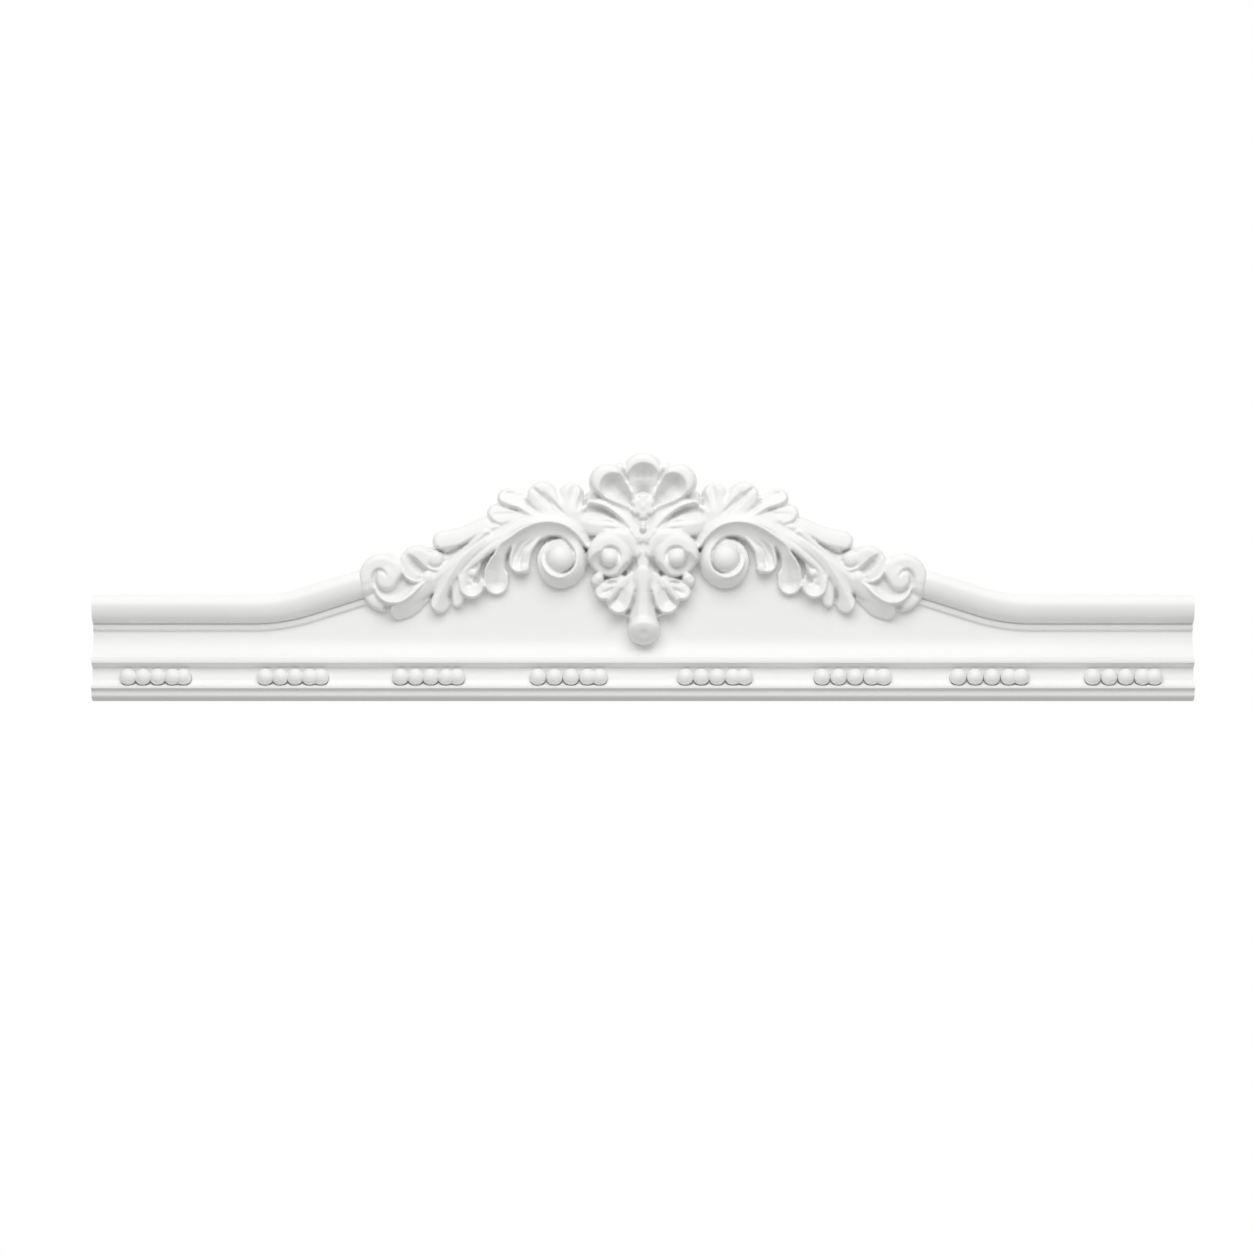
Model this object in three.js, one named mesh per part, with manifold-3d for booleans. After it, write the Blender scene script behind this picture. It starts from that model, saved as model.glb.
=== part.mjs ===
// A door pediment in one moulded piece: a straight beaded moulding, a torus rail that
// is level at both ends and sweeps up to the middle, a flat frieze plate, and a carving
// of two acanthus sprays on either side of a shell cartouche.
//
// Millimetres. X runs along the moulding, Z is up and the front faces -Y. The flat back
// is the plane Y = 0, and the origin is on it, on the centre line, at mid-height.

import * as THREE from 'three';
import { mergeVertices } from 'three/addons/utils/BufferGeometryUtils.js';
import Module from 'manifold-3d';

// Driving sizes: the whole piece

const LENGTH = 1280;
const ORIGIN_HEIGHT = 145; // of the origin above the underside
const FIELD_DEPTH = 22; // of the flat frieze in front of the wall

// Driving sizes: the lower moulding, from the underside up

const UNDERSIDE_DEPTH = 20; // flat part of the underside
const OVOLO_HEIGHT = 8;
const FILLET_DEPTH = 41;
const FILLET_HEIGHT = 4.5;
const LIP_DEPTH = 46;
const LIP_SLOPE_HEIGHT = 3;
const LIP_HEIGHT = 2;
const COVE_TOE_HEIGHT = 8.5; // curved foot of the cove behind the beads
const COVE_DEPTH = 32;
const COVE_BACK_HEIGHT = 11; // flat back of the same cove
const RECESS_DEPTH = 31;
const RECESS_HEIGHT = 2;
const SHELF_SLOPE_HEIGHT = 6;
const SHELF_DEPTH = 42;
const SHELF_HEIGHT = 3;
const SHELF_STEP = 2; // small step back above the shelf, in depth and in height
const FIELD_COVE_HEIGHT = 23.5;

// Driving sizes: the beads in the lower cove

const BEAD_RADIUS = 9.8;
const BEAD_STAND = 3.5; // of a bead's centre in front of its cove's back
const BEAD_RAISE = 1.25; // of a bead's centre above the middle of its cove
const BEADS_IN_GROUP = 5;
const LAST_BEAD_STEP = 0.72; // the last bead of a group is crowded against the fourth
const BEAD_GROUPS = [
  // shift of the group from its even place, and the pitch of its beads
  { shift: -6, pitch: 17.2 },
  { shift: -6.6, pitch: 17.2 },
  { shift: -9, pitch: 17.6 },
  { shift: -6.4, pitch: 19.2 },
  { shift: 3.5, pitch: 18.4 },
  { shift: 3.6, pitch: 19.2 },
  { shift: 2.5, pitch: 19.6 },
  { shift: -2, pitch: 19.3 },
];

// Driving sizes: the torus rail and the strip below it

const RAIL_TOP = 124; // height of its top edge where it is level
const RAIL_SLOPE = THREE.MathUtils.degToRad(17.5);
const RAIL_BEND_RADIUS = 190;
const RAIL_DEPTH = 42;
const RAIL_TOP_DEPTH = 18; // flat part of its top face
const RAIL_CROWN_DROP = 12; // of its deepest line below the top edge
const RAIL_WIDTH = 33.5;
const RAIL_FOOT_DEPTH = 24;
const STRIP_GAP = 1; // between the rail and the strip
const STRIP_SEAT = 23.5; // depth at the strip's edges
const STRIP_DEPTH = 27.5;
const STRIP_WIDTH = 6.5;
const STRIP_NOSE_DROP = 2; // of its foremost line below its top
const STRIP_FOOT = 2.5; // slope from the strip down to the frieze

// Driving sizes: the carving

const CARVING_FOOT = 65; // height of its lowest point
const CARVING_HEIGHT = 225.5;
const CARVING_RELIEF = 38; // of its boldest ball in front of the frieze

// The carving below is drawn in millimetres at these proportions, with distances out
// from the centre line and heights above the underside.
const DRAWN = { foot: 65, height: 225.5, relief: 38 };

// The carving's scale on the frieze

const SPREAD = CARVING_HEIGHT / DRAWN.height;
const BOLDNESS = CARVING_RELIEF / DRAWN.relief;

function place(out, height) {
  return new THREE.Vector2(out * SPREAD, CARVING_FOOT + (height - DRAWN.foot) * SPREAD);
}

function depthOf(relief) {
  return FIELD_DEPTH + relief * BOLDNESS;
}

// How finely the curves are cut

const QUARTER_STEPS = 4;
const STRIP_STEPS = 2;
const BEND_STEPS = 5;
const BEAD_SIDES = 7;
const BEAD_RINGS = 3;
const ACROSS_SCOOPED = [-1, -0.7, 0, 0.7, 1]; // points across a leaf, in half widths
const ACROSS_ROUND = [-1, 0, 1];
const STRETCHES_PER_POINT = 0.6; // along a leaf
const TIP_TURNS = [0.75, 1.35]; // rings round a leaf's tip, in radians
const LARGE_BOSS = 10; // radius above which a boss takes more sides
const LARGE_BOSS_SIDES = 12;
const SMALL_BOSS_SIDES = 6;
const LARGE_DOME = [[1, 1], [0.9, 0.5], [0.55, 0.15], [0, 0]]; // shares of radius and of dome
const SMALL_DOME = [[1, 1], [0.55, 0.15], [0, 0]];
const ROUND_EDGE = 5; // drop of a rounded leaf's outermost edge below its face
const CRISP_EDGE = 1;

// Every solid runs on this far past the back plane and the ends, and is cut off flat there.
const RUN_ON = 3;

const wasm = await Module();
wasm.setup();

// Joining

function closedSolid(geometry) {
  geometry.deleteAttribute('normal');
  geometry.deleteAttribute('uv');
  const merged = mergeVertices(geometry, 1e-4);
  const vertProperties = new Float32Array(merged.attributes.position.array);
  const triVerts = new Uint32Array(merged.index.array);
  return new wasm.Manifold(new wasm.Mesh({ numProp: 3, vertProperties, triVerts }));
}

function joined(solids) {
  return solids.reduce((whole, next) => whole.add(next));
}

function mirrored(solid) {
  return solid.mirror([1, 0, 0]);
}

function geometryOf(solid) {
  const { vertProperties, triVerts } = solid.getMesh();
  const geometry = new THREE.BufferGeometry();
  geometry.setAttribute('position', new THREE.BufferAttribute(vertProperties, 3));
  geometry.setIndex(new THREE.BufferAttribute(triVerts, 1));
  geometry.computeVertexNormals();
  return geometry;
}

// A skin over rings of equal length, closed by a fan at each end. The rings run so that
// the skin faces out, and each ring's first point sees all the others.
function loft(rings) {
  const size = rings[0].length;
  const corners = rings.flat().flatMap((point) => [point.x, point.y, point.z]);
  const triangles = [];
  for (let ring = 0; ring + 1 < rings.length; ring += 1) {
    for (let side = 0; side < size; side += 1) {
      const here = ring * size + side;
      const beside = ring * size + (side + 1) % size;
      triangles.push(here, here + size, beside, beside, here + size, beside + size);
    }
  }
  const last = (rings.length - 1) * size;
  for (let side = 1; side + 1 < size; side += 1) {
    triangles.push(0, side, side + 1);
    triangles.push(last, last + side + 1, last + side);
  }
  const geometry = new THREE.BufferGeometry();
  geometry.setAttribute('position', new THREE.Float32BufferAttribute(corners, 3));
  geometry.setIndex(triangles);
  return closedSolid(geometry);
}

// A quarter of an ellipse between two profile points (depth, height), without its first
// point. A cove and the top of a round leave their first point in the depth's direction,
// the underside of a round leaves it upright.
function quarter(from, to, depthFirst, steps = QUARTER_STEPS) {
  const points = [];
  for (let step = 1; step <= steps; step += 1) {
    const turn = (step / steps) * Math.PI / 2;
    const early = Math.sin(turn);
    const late = 1 - Math.cos(turn);
    const [depthShare, heightShare] = depthFirst ? [early, late] : [late, early];
    points.push([
      from[0] + (to[0] - from[0]) * depthShare,
      from[1] + (to[1] - from[1]) * heightShare,
    ]);
  }
  return points;
}

// The lower moulding

const OVOLO_TOP = OVOLO_HEIGHT;
const FILLET_TOP = OVOLO_TOP + FILLET_HEIGHT;
const LIP_FOOT = FILLET_TOP + LIP_SLOPE_HEIGHT;
const BEAD_COVE_FOOT = LIP_FOOT + LIP_HEIGHT;
const COVE_TOE_TOP = BEAD_COVE_FOOT + COVE_TOE_HEIGHT;
const BEAD_COVE_TOP = COVE_TOE_TOP + COVE_BACK_HEIGHT;
const RECESS_TOP = BEAD_COVE_TOP + RECESS_HEIGHT;
const SHELF_FOOT = RECESS_TOP + SHELF_SLOPE_HEIGHT;
const SHELF_TOP = SHELF_FOOT + SHELF_HEIGHT;
const FIELD_COVE_FOOT = SHELF_TOP + SHELF_STEP;
const FIELD_COVE_TOP = FIELD_COVE_FOOT + FIELD_COVE_HEIGHT;

function extrudedUpright(outline, depth) {
  const shape = new THREE.Shape(outline);
  const geometry = new THREE.ExtrudeGeometry(shape, { depth: depth + RUN_ON, bevelEnabled: false });
  geometry.applyMatrix4(new THREE.Matrix4().makeRotationX(Math.PI / 2));
  geometry.translate(0, RUN_ON, 0);
  return closedSolid(geometry);
}

function lowerMoulding() {
  const stepDepth = SHELF_DEPTH - SHELF_STEP;
  const profile = [
    [-RUN_ON, 0],
    [UNDERSIDE_DEPTH, 0],
    ...quarter([UNDERSIDE_DEPTH, 0], [FILLET_DEPTH, OVOLO_TOP], true),
    [FILLET_DEPTH, FILLET_TOP],
    [LIP_DEPTH, LIP_FOOT],
    [LIP_DEPTH, BEAD_COVE_FOOT],
    ...quarter([LIP_DEPTH, BEAD_COVE_FOOT], [COVE_DEPTH, COVE_TOE_TOP], true),
    [COVE_DEPTH, BEAD_COVE_TOP],
    [RECESS_DEPTH, RECESS_TOP],
    [SHELF_DEPTH, SHELF_FOOT],
    [SHELF_DEPTH, SHELF_TOP],
    [stepDepth, SHELF_TOP],
    [stepDepth, FIELD_COVE_FOOT],
    ...quarter([stepDepth, FIELD_COVE_FOOT], [FIELD_DEPTH, FIELD_COVE_TOP], true),
    [-RUN_ON, FIELD_COVE_TOP],
  ];
  const shape = new THREE.Shape(profile.map(([depth, height]) => new THREE.Vector2(depth, height)));
  const geometry = new THREE.ExtrudeGeometry(shape, { depth: LENGTH + 2 * RUN_ON, bevelEnabled: false });
  const forward = new THREE.Vector3(0, -1, 0);
  const up = new THREE.Vector3(0, 0, 1);
  const along = new THREE.Vector3(-1, 0, 0);
  geometry.applyMatrix4(new THREE.Matrix4().makeBasis(forward, up, along));
  geometry.translate(LENGTH / 2 + RUN_ON, 0, 0);
  return closedSolid(geometry);
}

// The beads sit halfway up their cove, in groups spread evenly along the moulding but for
// each group's own shift.
function beads() {
  const height = (BEAD_COVE_FOOT + BEAD_COVE_TOP) / 2 + BEAD_RAISE;
  const every = LENGTH / BEAD_GROUPS.length;
  const solids = [];
  BEAD_GROUPS.forEach(({ shift, pitch }, group) => {
    const middle = (group + 0.5) * every - LENGTH / 2 + shift;
    const span = pitch * (BEADS_IN_GROUP - 2 + LAST_BEAD_STEP);
    for (let bead = 0; bead < BEADS_IN_GROUP; bead += 1) {
      const steps = bead < BEADS_IN_GROUP - 1 ? bead : bead - 1 + LAST_BEAD_STEP;
      const ball = new THREE.SphereGeometry(BEAD_RADIUS, BEAD_SIDES, BEAD_RINGS);
      ball.rotateX(Math.PI / 2);
      ball.translate(
        middle - span / 2 + steps * pitch,
        -COVE_DEPTH - BEAD_STAND,
        height,
      );
      solids.push(closedSolid(ball));
    }
  });
  return solids;
}

// The torus rail on one side, swept in from the end of the moulding. The bend lies where
// the slope that leaves the carving's end volute comes down to the level part.

const RAIL_MEETS = place(335, 152); // the top edge where the end volute covers it
const RAIL_END = place(303, 162);
const BEND_RISE = RAIL_BEND_RADIUS * (1 - Math.cos(RAIL_SLOPE));
const BEND_INNER = RAIL_MEETS.x
  + (RAIL_MEETS.y - RAIL_TOP - BEND_RISE) / Math.tan(RAIL_SLOPE);
const BEND_OUTER = BEND_INNER + RAIL_BEND_RADIUS * Math.sin(RAIL_SLOPE);

function railStations() {
  const stations = [{ x: LENGTH / 2 + RUN_ON, z: RAIL_TOP, lean: 0, fullness: 1 }];
  for (let step = 0; step <= BEND_STEPS; step += 1) {
    const lean = RAIL_SLOPE * step / BEND_STEPS;
    stations.push({
      x: BEND_OUTER - RAIL_BEND_RADIUS * Math.sin(lean),
      z: RAIL_TOP + RAIL_BEND_RADIUS * (1 - Math.cos(lean)),
      lean,
      fullness: 1,
    });
  }
  const slopeEnd = RAIL_MEETS.y + (RAIL_MEETS.x - RAIL_END.x) * Math.tan(RAIL_SLOPE);
  stations.push({ x: RAIL_MEETS.x, z: RAIL_MEETS.y, lean: RAIL_SLOPE, fullness: 1 });
  stations.push({ x: RAIL_END.x, z: slopeEnd, lean: RAIL_SLOPE, fullness: 0.75 });
  return stations;
}

function rail() {
  const stripFoot = RAIL_WIDTH + STRIP_GAP;
  const stripNose = stripFoot + STRIP_NOSE_DROP;
  const stripEnd = stripFoot + STRIP_WIDTH;
  const section = [
    [-RUN_ON, 0],
    [RAIL_TOP_DEPTH, 0],
    ...quarter([RAIL_TOP_DEPTH, 0], [RAIL_DEPTH, RAIL_CROWN_DROP], true),
    ...quarter([RAIL_DEPTH, RAIL_CROWN_DROP], [RAIL_FOOT_DEPTH, RAIL_WIDTH], false),
    [STRIP_SEAT, stripFoot],
    ...quarter([STRIP_SEAT, stripFoot], [STRIP_DEPTH, stripNose], true, STRIP_STEPS),
    ...quarter([STRIP_DEPTH, stripNose], [STRIP_SEAT, stripEnd], false, STRIP_STEPS),
    [FIELD_DEPTH, stripEnd + STRIP_FOOT],
    [-RUN_ON, stripEnd + STRIP_FOOT],
  ];
  const rings = railStations().map(({ x, z, lean, fullness }) => section.map(
    ([depth, drop]) => new THREE.Vector3(
      x - drop * Math.sin(lean),
      -depth * fullness,
      z - drop * Math.cos(lean),
    ),
  ));
  return loft(rings);
}

// The flat frieze plate: under the rail at the ends, and inside the leaves' outlines
// above it.
function friezePlate() {
  const underRail = RAIL_WIDTH / 2;
  const right = railStations().slice(0, -1).map(
    ({ x, z, lean }) => [x - underRail * Math.sin(lean), z - underRail * Math.cos(lean)],
  );
  const crest = [
    [306, 158], [290, 162], [262, 168], [240, 180], [200, 195], [165, 212], [130, 232],
    [85, 236], [64, 236], [50, 252], [28, 262], [0, 280],
  ].map(([out, height]) => place(out, height).toArray());
  const half = [[LENGTH / 2 + RUN_ON, FIELD_COVE_FOOT], ...right, ...crest];
  const outline = [
    ...half,
    ...half.slice(0, -1).reverse().map(([x, z]) => [-x, z]),
  ];
  return extrudedUpright(outline.map(([x, z]) => new THREE.Vector2(x, z)), FIELD_DEPTH);
}

// The value of a list that is spread evenly over a line, at a share of its length.
function along(values, share) {
  const list = Array.isArray(values) ? values : [values];
  const spot = share * (list.length - 1);
  const index = Math.min(Math.floor(spot), list.length - 2);
  return list.length === 1 ? list[0] : THREE.MathUtils.lerp(list[index], list[index + 1], spot - index);
}

// The rises of a leaf's face at a share of its length: along it the rows of a table, across
// it their columns, which run from the left of its course to the right.
function rowAt(rows, share) {
  const spot = share * (rows.length - 1);
  const index = Math.min(Math.floor(spot), rows.length - 2);
  return rows[index].map((rise, column) => THREE.MathUtils.lerp(rise, rows[index + 1][column], spot - index));
}

// The face of a leaf as pairs: the place across in half widths, from the right of its
// course to the left, and the rise. Below zero, crown scoops the middle of the face.
function faceAt(relief, crown, share) {
  if (Array.isArray(relief) && Array.isArray(relief[0])) {
    const row = rowAt(relief, share).reverse();
    return row.map((rise, column) => [2 * column / (row.length - 1) - 1, rise]);
  }
  const across = Math.min(...[crown].flat()) < 0 ? ACROSS_SCOOPED : ACROSS_ROUND;
  return across.map((u) => [u, along(relief, share) + along(crown, share) * (1 - u * u)]);
}

// A leaf, stem or ribbon: it follows its spine from the base to the middle of its round
// tip, and its edges drop a little below its face.
function leaf({ spine, half, relief, crown = 0, edge = ROUND_EDGE }) {
  const curve = new THREE.CatmullRomCurve3(
    spine.map(([out, height]) => new THREE.Vector3(...place(out, height), 0)),
    false,
    'centripetal',
  );
  const stretches = Math.ceil(spine.length * STRETCHES_PER_POINT);
  const shares = Array.from({ length: stretches + 1 }, (_, index) => index / stretches);
  const stations = shares.map((share) => ({ share, beyond: 0, narrow: 1 }));
  TIP_TURNS.forEach((turn) => {
    stations.push({ share: 1, beyond: Math.sin(turn), narrow: Math.cos(turn) });
  });
  const rings = stations.map(({ share, beyond, narrow }) => {
    const middle = curve.getPointAt(share);
    const run = curve.getTangentAt(share);
    const width = along(half, share) * SPREAD;
    const face = faceAt(relief, crown, share);
    const mean = face.reduce((sum, [, rise]) => sum + rise, 0) / face.length;
    const ring = face.map(([u, rise]) => {
      const drop = edge * (Math.abs(u) === 1 ? 1 : 1 - narrow);
      const x = middle.x + run.x * beyond * width - run.y * u * width * narrow;
      const z = middle.y + run.y * beyond * width + run.x * u * width * narrow;
      return new THREE.Vector3(x, -depthOf(mean + (rise - mean) * narrow - drop), z);
    });
    const first = ring[0];
    const final = ring[ring.length - 1];
    return [
      new THREE.Vector3(first.x, RUN_ON, first.z),
      ...ring,
      new THREE.Vector3(final.x, RUN_ON, final.z),
    ];
  });
  return loft(rings);
}

// A solid turned about an axis that stands out from the wall, from pairs (radius, rise).
function turned(at, pairs, sides) {
  const middle = place(...at);
  const profile = pairs.map(([radius, rise]) => new THREE.Vector2(radius * SPREAD, depthOf(rise)));
  const outermost = profile[0].x;
  const drum = new THREE.LatheGeometry(
    [new THREE.Vector2(0, -RUN_ON), new THREE.Vector2(outermost, -RUN_ON), ...profile],
    sides,
  );
  drum.applyMatrix4(new THREE.Matrix4().makeRotationX(Math.PI));
  drum.translate(middle.x, 0, middle.y);
  return closedSolid(drum);
}

// A round boss with a domed top.
function boss({ at, radius, relief, dome }) {
  const large = radius > LARGE_BOSS;
  const shares = large ? LARGE_DOME : SMALL_DOME;
  const pairs = shares.map(([out, down]) => [radius * out, relief - dome * down]);
  return turned(at, pairs, large ? LARGE_BOSS_SIDES : SMALL_BOSS_SIDES);
}

// Points on a circle of the drawing, for a curled lip.
function arc(at, radius, from, to, count) {
  return Array.from({ length: count }, (_, index) => {
    const turn = THREE.MathUtils.degToRad(THREE.MathUtils.lerp(from, to, index / (count - 1)));
    return [at[0] + radius * Math.cos(turn), at[1] + radius * Math.sin(turn)];
  });
}

// The spray, drawn for the right-hand side

const VOLUTE = [96, 166];
const END_VOLUTE = [303, 143];

// The stem and the scroll that it carries
function scroll() {
  const crisp = [
    // the stem, which faces up over the scroll and flattens towards its tip
    {
      spine: [
        [64, 182], [72, 196], [84, 208], [100, 215], [118, 216], [140, 210], [165, 195], [190, 177],
        [215, 158], [240, 139], [262, 123], [280, 111],
      ],
      half: [5, 8, 9.5, 10.5, 11.5, 12.5, 13, 13.5, 12.5, 10.5, 8, 5],
      relief: [
        [15, 20, 25], [16, 23.5, 31], [15, 23, 33], [13, 22.5, 33], [14, 22, 31], [18, 23, 24],
        [19, 20, 17], [18, 18.5, 13], [17, 16.5, 10], [17, 15.5, 10],
      ],
    },
    // the ribbon under it, from the volute's outer side down to a cupped tip
    {
      spine: [
        [72, 164], [72, 170], [79, 184], [90, 194], [104, 198.5], [120, 198], [139, 193],
        [156, 179], [165, 165], [170, 150], [170.5, 137.5],
      ],
      half: [8.5, 8.5, 10, 11, 12, 13, 12.5, 11, 11, 15, 15],
      relief: [
        [17, 18.5, 20, 20], [23, 19, 17.5, 16], [30, 21, 18, 16], [33, 22, 18.5, 16],
        [33, 22, 18.5, 16], [32, 21, 17.5, 15], [29, 19, 16, 14], [28, 18, 14, 13],
        [23, 13, 10, 12], [18, 7, 6, 12],
      ],
    },
    // the volute's band, low at its outer edge along the bottom
    {
      spine: [
        [72, 170], [73, 155], [83, 143], [98, 138.5], [112, 144], [119, 156], [119, 169],
        [113, 180], [102, 185.5], [92, 184],
      ],
      half: [8.5, 8.5, 9, 9, 8.5, 6.5, 5.5, 5, 4.5, 4.5],
      relief: [
        [20, 18.5, 17], [24, 20, 11], [26, 20, 7], [26, 20, 5], [25, 19, 6], [21, 18, 9],
        [17, 16, 10], [15, 14, 12], [15, 14, 13], [16, 16, 16],
      ],
    },
    // the lip round the volute's ball
    {
      spine: arc(VOLUTE, 19.6, 215, 372, 9),
      half: [2.4, 3.8, 4.6, 4.8, 4.4, 3.6, 2.4],
      relief: [[16, 17], [18, 22], [20, 28], [20, 30], [19, 28], [16, 22], [13, 16]],
    },
    // the leaf inside the scroll
    {
      spine: [[118, 194], [130, 186], [140, 175], [144, 162]],
      half: [4, 8.5, 12.5, 14],
      relief: [[13, 16, 20], [12, 15.5, 22], [19, 16, 17], [21, 17, 17]],
    },
  ];
  const bosses = [
    { at: VOLUTE, radius: 16.4, relief: 32, dome: 16 },
    { at: [137, 154.5], radius: 6, relief: 18, dome: 4 },
  ];
  return [...crisp.map((form) => leaf({ ...form, edge: CRISP_EDGE })), ...bosses.map(boss)];
}

function leavesOfSpray() {
  const crisp = [
    // below the stem, from the scroll outwards
    {
      spine: [[186, 186], [197, 166], [201, 146], [199, 134]],
      half: [7, 10, 14, 15],
      relief: [[23, 23, 22, 20], [21, 20, 18.5, 16], [21, 15, 14, 16], [22, 15, 14, 19]],
    },
    {
      spine: [[182, 192], [204, 166], [222, 140], [235.5, 114]],
      half: [8, 13, 14, 12.5],
      relief: [[24, 23, 16], [20, 21, 10], [17, 18.5, 6], [14, 15.5, 6]],
    },
    {
      spine: [[246, 137], [260, 122], [273, 109], [284, 104]],
      half: [7, 13, 13, 10.5],
      relief: [[19, 13.5, 6], [25, 15, 3], [25, 14, 2], [23, 14, 3]],
    },
  ];
  const round = [
    { spine: [[204, 154], [212, 132], [216.5, 117]], half: [5, 8, 8.6], relief: [16, 15, 12], crown: 3 },
    // above the stem, from the end volute inwards
    {
      spine: [[160, 213], [186, 203], [211, 191.5], [233.5, 186.5]],
      half: [7, 10, 11, 11.5],
      relief: [[19, 19, 24], [18, 18, 23], [17, 17, 21], [16, 16, 19]],
    },
    { spine: [[138, 212], [156, 216.5], [169, 217.5]], half: [8, 11, 12.5], relief: [18, 17, 15], crown: 2 },
    { spine: [[116, 213], [136, 227], [158, 236.5]], half: [7, 10.5, 11], relief: [18, 18, 17], crown: 3 },
    { spine: [[92, 206], [106, 226], [117, 237.5]], half: [8, 16, 18], relief: [20, 21, 18], crown: 2 },
    { spine: [[74, 200], [81, 220], [84, 239.5]], half: [8, 13, 14.5], relief: [19, 20, 17], crown: 2 },
  ];
  return [...crisp.map((form) => leaf({ ...form, edge: CRISP_EDGE })), ...round.map(leaf)];
}

// The volute at the spray's end, with its cup leaf, bud and nub
function endVolute() {
  const crisp = [
    // the broad lip under the hump
    {
      spine: [
        [252, 143], [262, 136.5], [275, 127.5], [285, 122.5], [295, 121.5], [304, 125.5],
        [310.5, 134],
      ],
      half: [4.5, 6.5, 8.5, 9.5, 9, 6.6, 3],
      relief: [
        [15, 18, 21], [12, 18, 25], [9, 16, 29], [7, 15, 30], [7, 15, 30], [9, 15, 26],
        [14, 16, 19],
      ],
    },
    // the cup leaf's lip
    {
      spine: arc([261, 158], 16.5, 5, -100, 6),
      half: [3, 5, 5.5, 5, 4],
      relief: [[20, 18], [24, 17], [25, 15], [25, 15], [22, 16]],
    },
  ];
  const cup = { spine: [[249, 150], [259, 156], [262, 159]], half: [11, 19, 22], relief: [17, 21, 20] };
  const bosses = [
    { at: [303.5, 144], radius: 27.5, relief: 21, dome: 9 },
    { at: [299, 133], radius: 30, relief: 14, dome: 8 },
    { at: [298.5, 144], radius: 13.5, relief: 26, dome: 6 },
    { at: [241, 165], radius: 9, relief: 23, dome: 5 },
    { at: [250, 143.5], radius: 8, relief: 21, dome: 6 },
  ];
  return [...crisp.map((form) => leaf({ ...form, edge: CRISP_EDGE })), leaf(cup), ...bosses.map(boss)];
}

// The shell, the eyes and the lower palmette, drawn for the right-hand half

const EYE = [38.5, 167];
const EYE_SIDES = 12;

function cartoucheSide() {
  const leaves = [
    // the shell's narrow fold, its upper side lobe and the rib below it
    { spine: [[10, 238], [19, 256], [26, 269]], half: [4, 6.5, 8], relief: [20, 26, 26], crown: 2 },
    {
      spine: [[12, 224], [28, 242], [42, 256]],
      half: [8, 15.5, 19.5],
      relief: [22, 27, 28],
      crown: [-4, -11, -9],
    },
    { spine: [[14, 212], [30, 228], [44, 238]], half: [6, 8, 7], relief: [20, 20, 15], crown: 2 },
    // the lower side lobe, hollow below its bright upper rim
    {
      spine: [[6, 189], [26, 204], [55, 211.5]],
      half: [8, 16, 21.5],
      relief: [[24, 26, 27, 29], [14, 23, 27, 28], [11, 16, 22, 22]],
    },
    {
      spine: [[6, 191], [20, 208], [38, 225], [50, 231], [62, 230]],
      half: [4, 4.5, 5, 5, 4.6],
      relief: [[24, 29], [23, 30], [21, 29], [19, 27], [17, 23]],
      edge: CRISP_EDGE,
    },
    { spine: [[66, 192], [71, 205]], half: [6, 7], relief: [12, 14] },
    // the hood over the eye
    { spine: [[40, 190], [22, 187], [9, 173]], half: [9, 11, 8], relief: [30, 30, 27] },
    // the leaves of the lower palmette
    {
      spine: [[13, 143], [21, 130], [28, 115.5]],
      half: [8, 12.5, 14.5],
      relief: [24, 26, 26],
      crown: [-1, -4, -8],
      edge: CRISP_EDGE,
    },
    {
      spine: [[26, 142], [37, 134], [46, 127.5]],
      half: [6, 9.5, 11],
      relief: [[24, 23, 24], [19, 22, 24], [19, 20, 24]],
    },
  ];
  const bosses = [
    { at: EYE, radius: 10.8, relief: 36, dome: 12 },
    { at: [54, 140.5], radius: 8.4, relief: 23, dome: 7 },
  ];
  // the cushion round the eye, hollowed to a bowl
  const cushion = turned(
    [39, 170],
    [[26, 22], [22.5, 30], [17, 31], [12, 22], [0, 20]],
    EYE_SIDES,
  );
  return [cushion, ...leaves.map(leaf), ...bosses.map(boss)];
}

// What stands on the centre line: the crest lobe, the field, the flower, the stem and the knob
function cartoucheMiddle() {
  const leaves = [
    {
      spine: [[0, 224], [0, 244], [0, 258], [0, 268]],
      half: [8, 14.5, 21, 23],
      relief: [24, 28, 31, 30],
      crown: [-2, -14, -17, -9],
    },
    { spine: [[0, 214], [0, 195], [0, 175], [0, 152]], half: [15, 12, 9, 8], relief: 21.5, edge: 3 },
    { spine: [[0, 150], [0, 128], [0, 110], [0, 98]], half: [14, 10, 10, 15], relief: 22, crown: 5 },
    { spine: [[0, 100], [0, 84]], half: [13, 18.8], relief: [34, 24], crown: [2, 9], edge: 9 },
  ];
  const petals = arc([0, 226], 8.8, 90, 390, 6);
  const bosses = [
    { at: [0, 226], radius: 13, relief: 26, dome: 4 },
    ...petals.map((at) => ({ at, radius: 5.4, relief: 29, dome: 3 })),
    { at: [0, 203.5], radius: 5, relief: 29, dome: 4 },
  ];
  return [...leaves.map(leaf), ...bosses.map(boss)];
}

// The shield that the cartouche's lobes rise from
function shield() {
  const half = [
    [0, 284], [20, 272], [44, 262], [56, 246], [66, 216], [58, 196], [61, 165], [58, 140],
    [50, 118], [38, 102], [20, 92], [0, 86],
  ];
  const outline = [...half, ...half.slice(1, -1).reverse().map(([out, height]) => [-out, height])];
  return extrudedUpright(outline.map(([out, height]) => place(out, height)), depthOf(12));
}

// The space in front of the wall and between the two square ends
function envelope() {
  const reach = 4 * (FIELD_DEPTH + CARVING_RELIEF);
  const height = 2 * (CARVING_FOOT + CARVING_HEIGHT);
  const box = new THREE.BoxGeometry(LENGTH, reach, 2 * height);
  box.translate(0, -reach / 2, 0);
  return closedSolid(box);
}

// Assembly

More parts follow.
